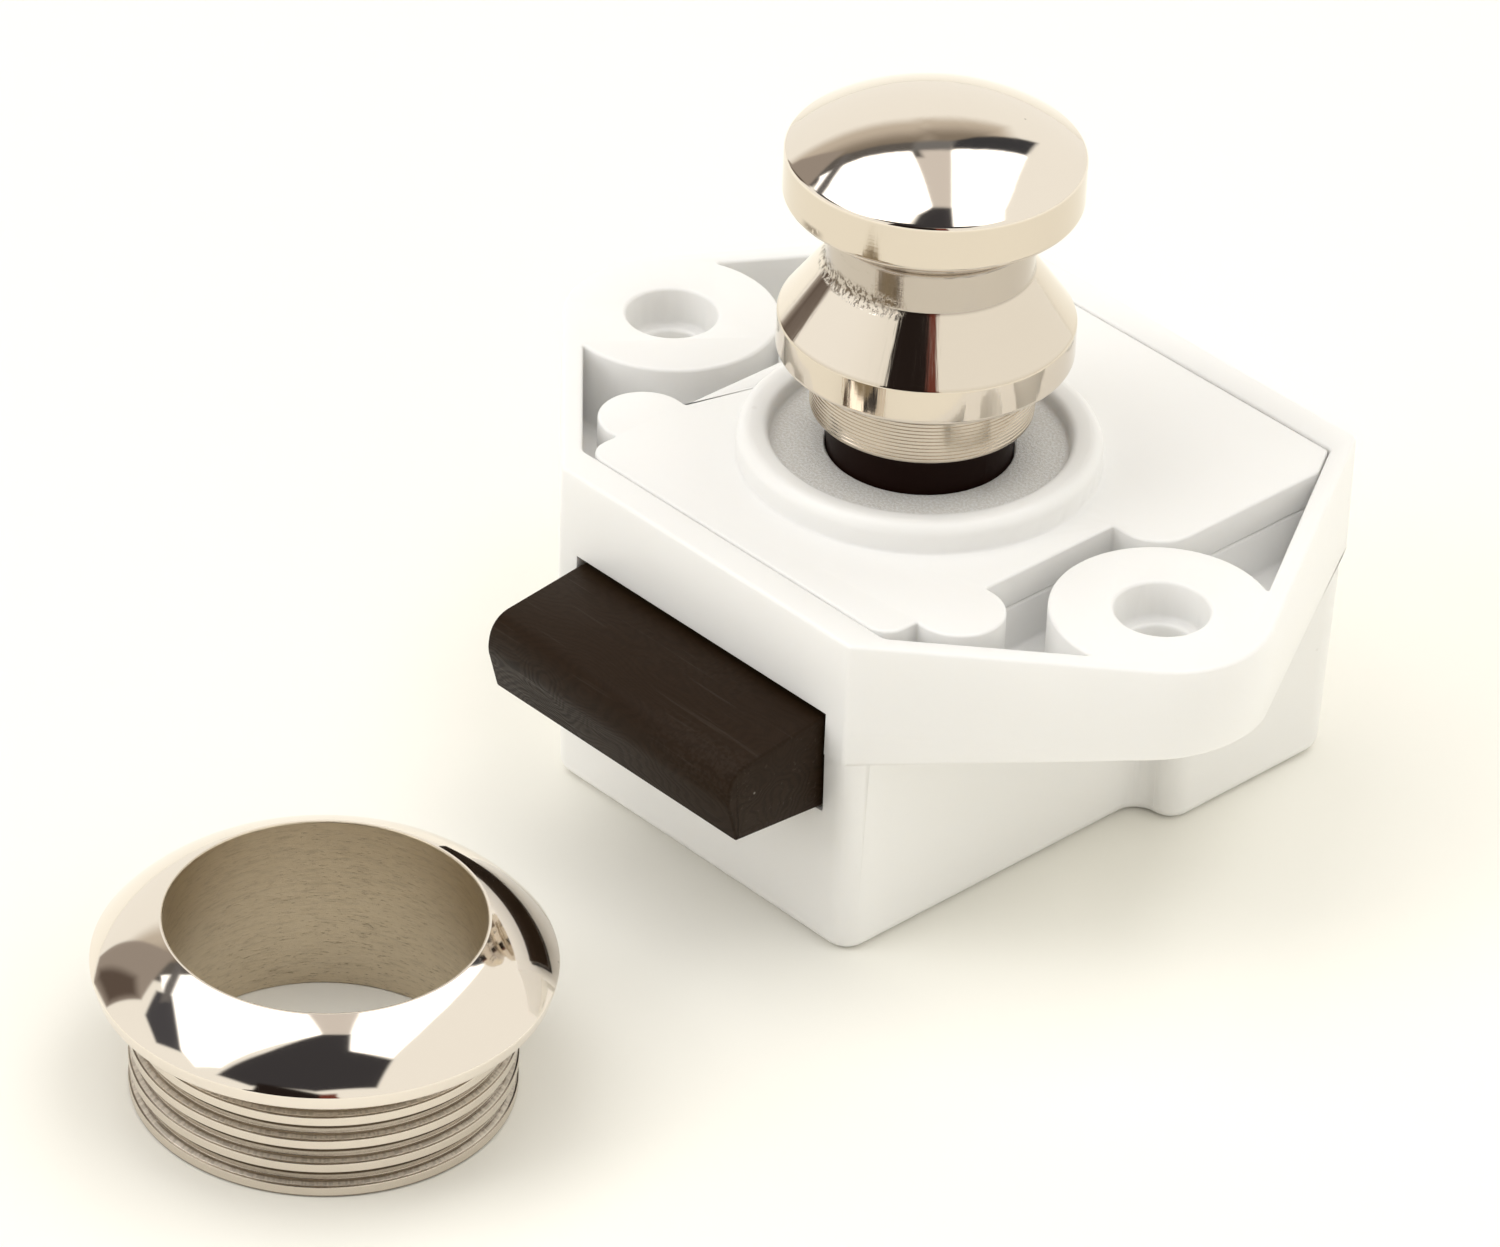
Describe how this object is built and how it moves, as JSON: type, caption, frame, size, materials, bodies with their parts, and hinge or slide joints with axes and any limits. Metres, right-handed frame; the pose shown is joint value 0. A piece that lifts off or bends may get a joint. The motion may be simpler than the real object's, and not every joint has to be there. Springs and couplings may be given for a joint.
{
  "type": "push button cabinet lock",
  "caption": "Push button lock for a cabinet or caravan door: turned metal knob on a plunger, dark latch bolt in a white moulded housing with screw ears, and a loose trim ring.",
  "frame": {"origin": "on the button axis, in the plane of the closed back of the housing", "axes": "+Z along the button axis towards the knob and the door; the bolt moves along Y and leaves the housing towards -Y; +X to the right seen from the front of the bolt"},
  "size_m": [0.0492, 0.0738, 0.0406],
  "materials": {
    "housing_plastic": "smooth moulded, glossy",
    "cover_plastic": "smooth moulded, grained inside the collar",
    "dark_plastic": "satin moulded with fine scuffs",
    "spring_steel": "drawn wire",
    "nickel": "polished nickel plate",
    "steel": "plain steel"
  },
  "bodies": {
    "housing": {"housing": "housing_plastic", "cover_plate": "cover_plastic"},
    "latch_bolt": {"latch_bolt": "dark_plastic"},
    "button": {"plunger": "dark_plastic", "plunger_spring": "spring_steel", "knob": "nickel", "knob_stud": "steel"},
    "follower": {"follower_wire": "spring_steel"},
    "trim_ring": {"trim_ring": "nickel"}
  },
  "joints": [
    {"name": "button_slide", "type": "slide", "parent": "housing", "child": "button", "axis": [0, 0, 1], "range_m": [-0.001, 0.009], "deforming": ["plunger_spring"]},
    {"name": "bolt_slide", "type": "slide", "parent": "housing", "child": "latch_bolt", "axis": [0, 1, 0], "range_m": [-0.00073, 0.0065]},
    {"name": "follower_swing", "type": "hinge", "parent": "button", "child": "follower", "pos_m": [0, 0.00415, 0.0101], "axis": [0, -1, 0], "range_deg": [0, 30]},
    {"name": "trim_ring_lift", "type": "slide", "parent": "housing", "child": "trim_ring", "axis": [0, 0, 1], "range_m": [0, 0.05]}
  ],
  "couplings": [
    {"joint": "bolt_slide", "follows": "button_slide", "ratio": 0.72222}
  ]
}
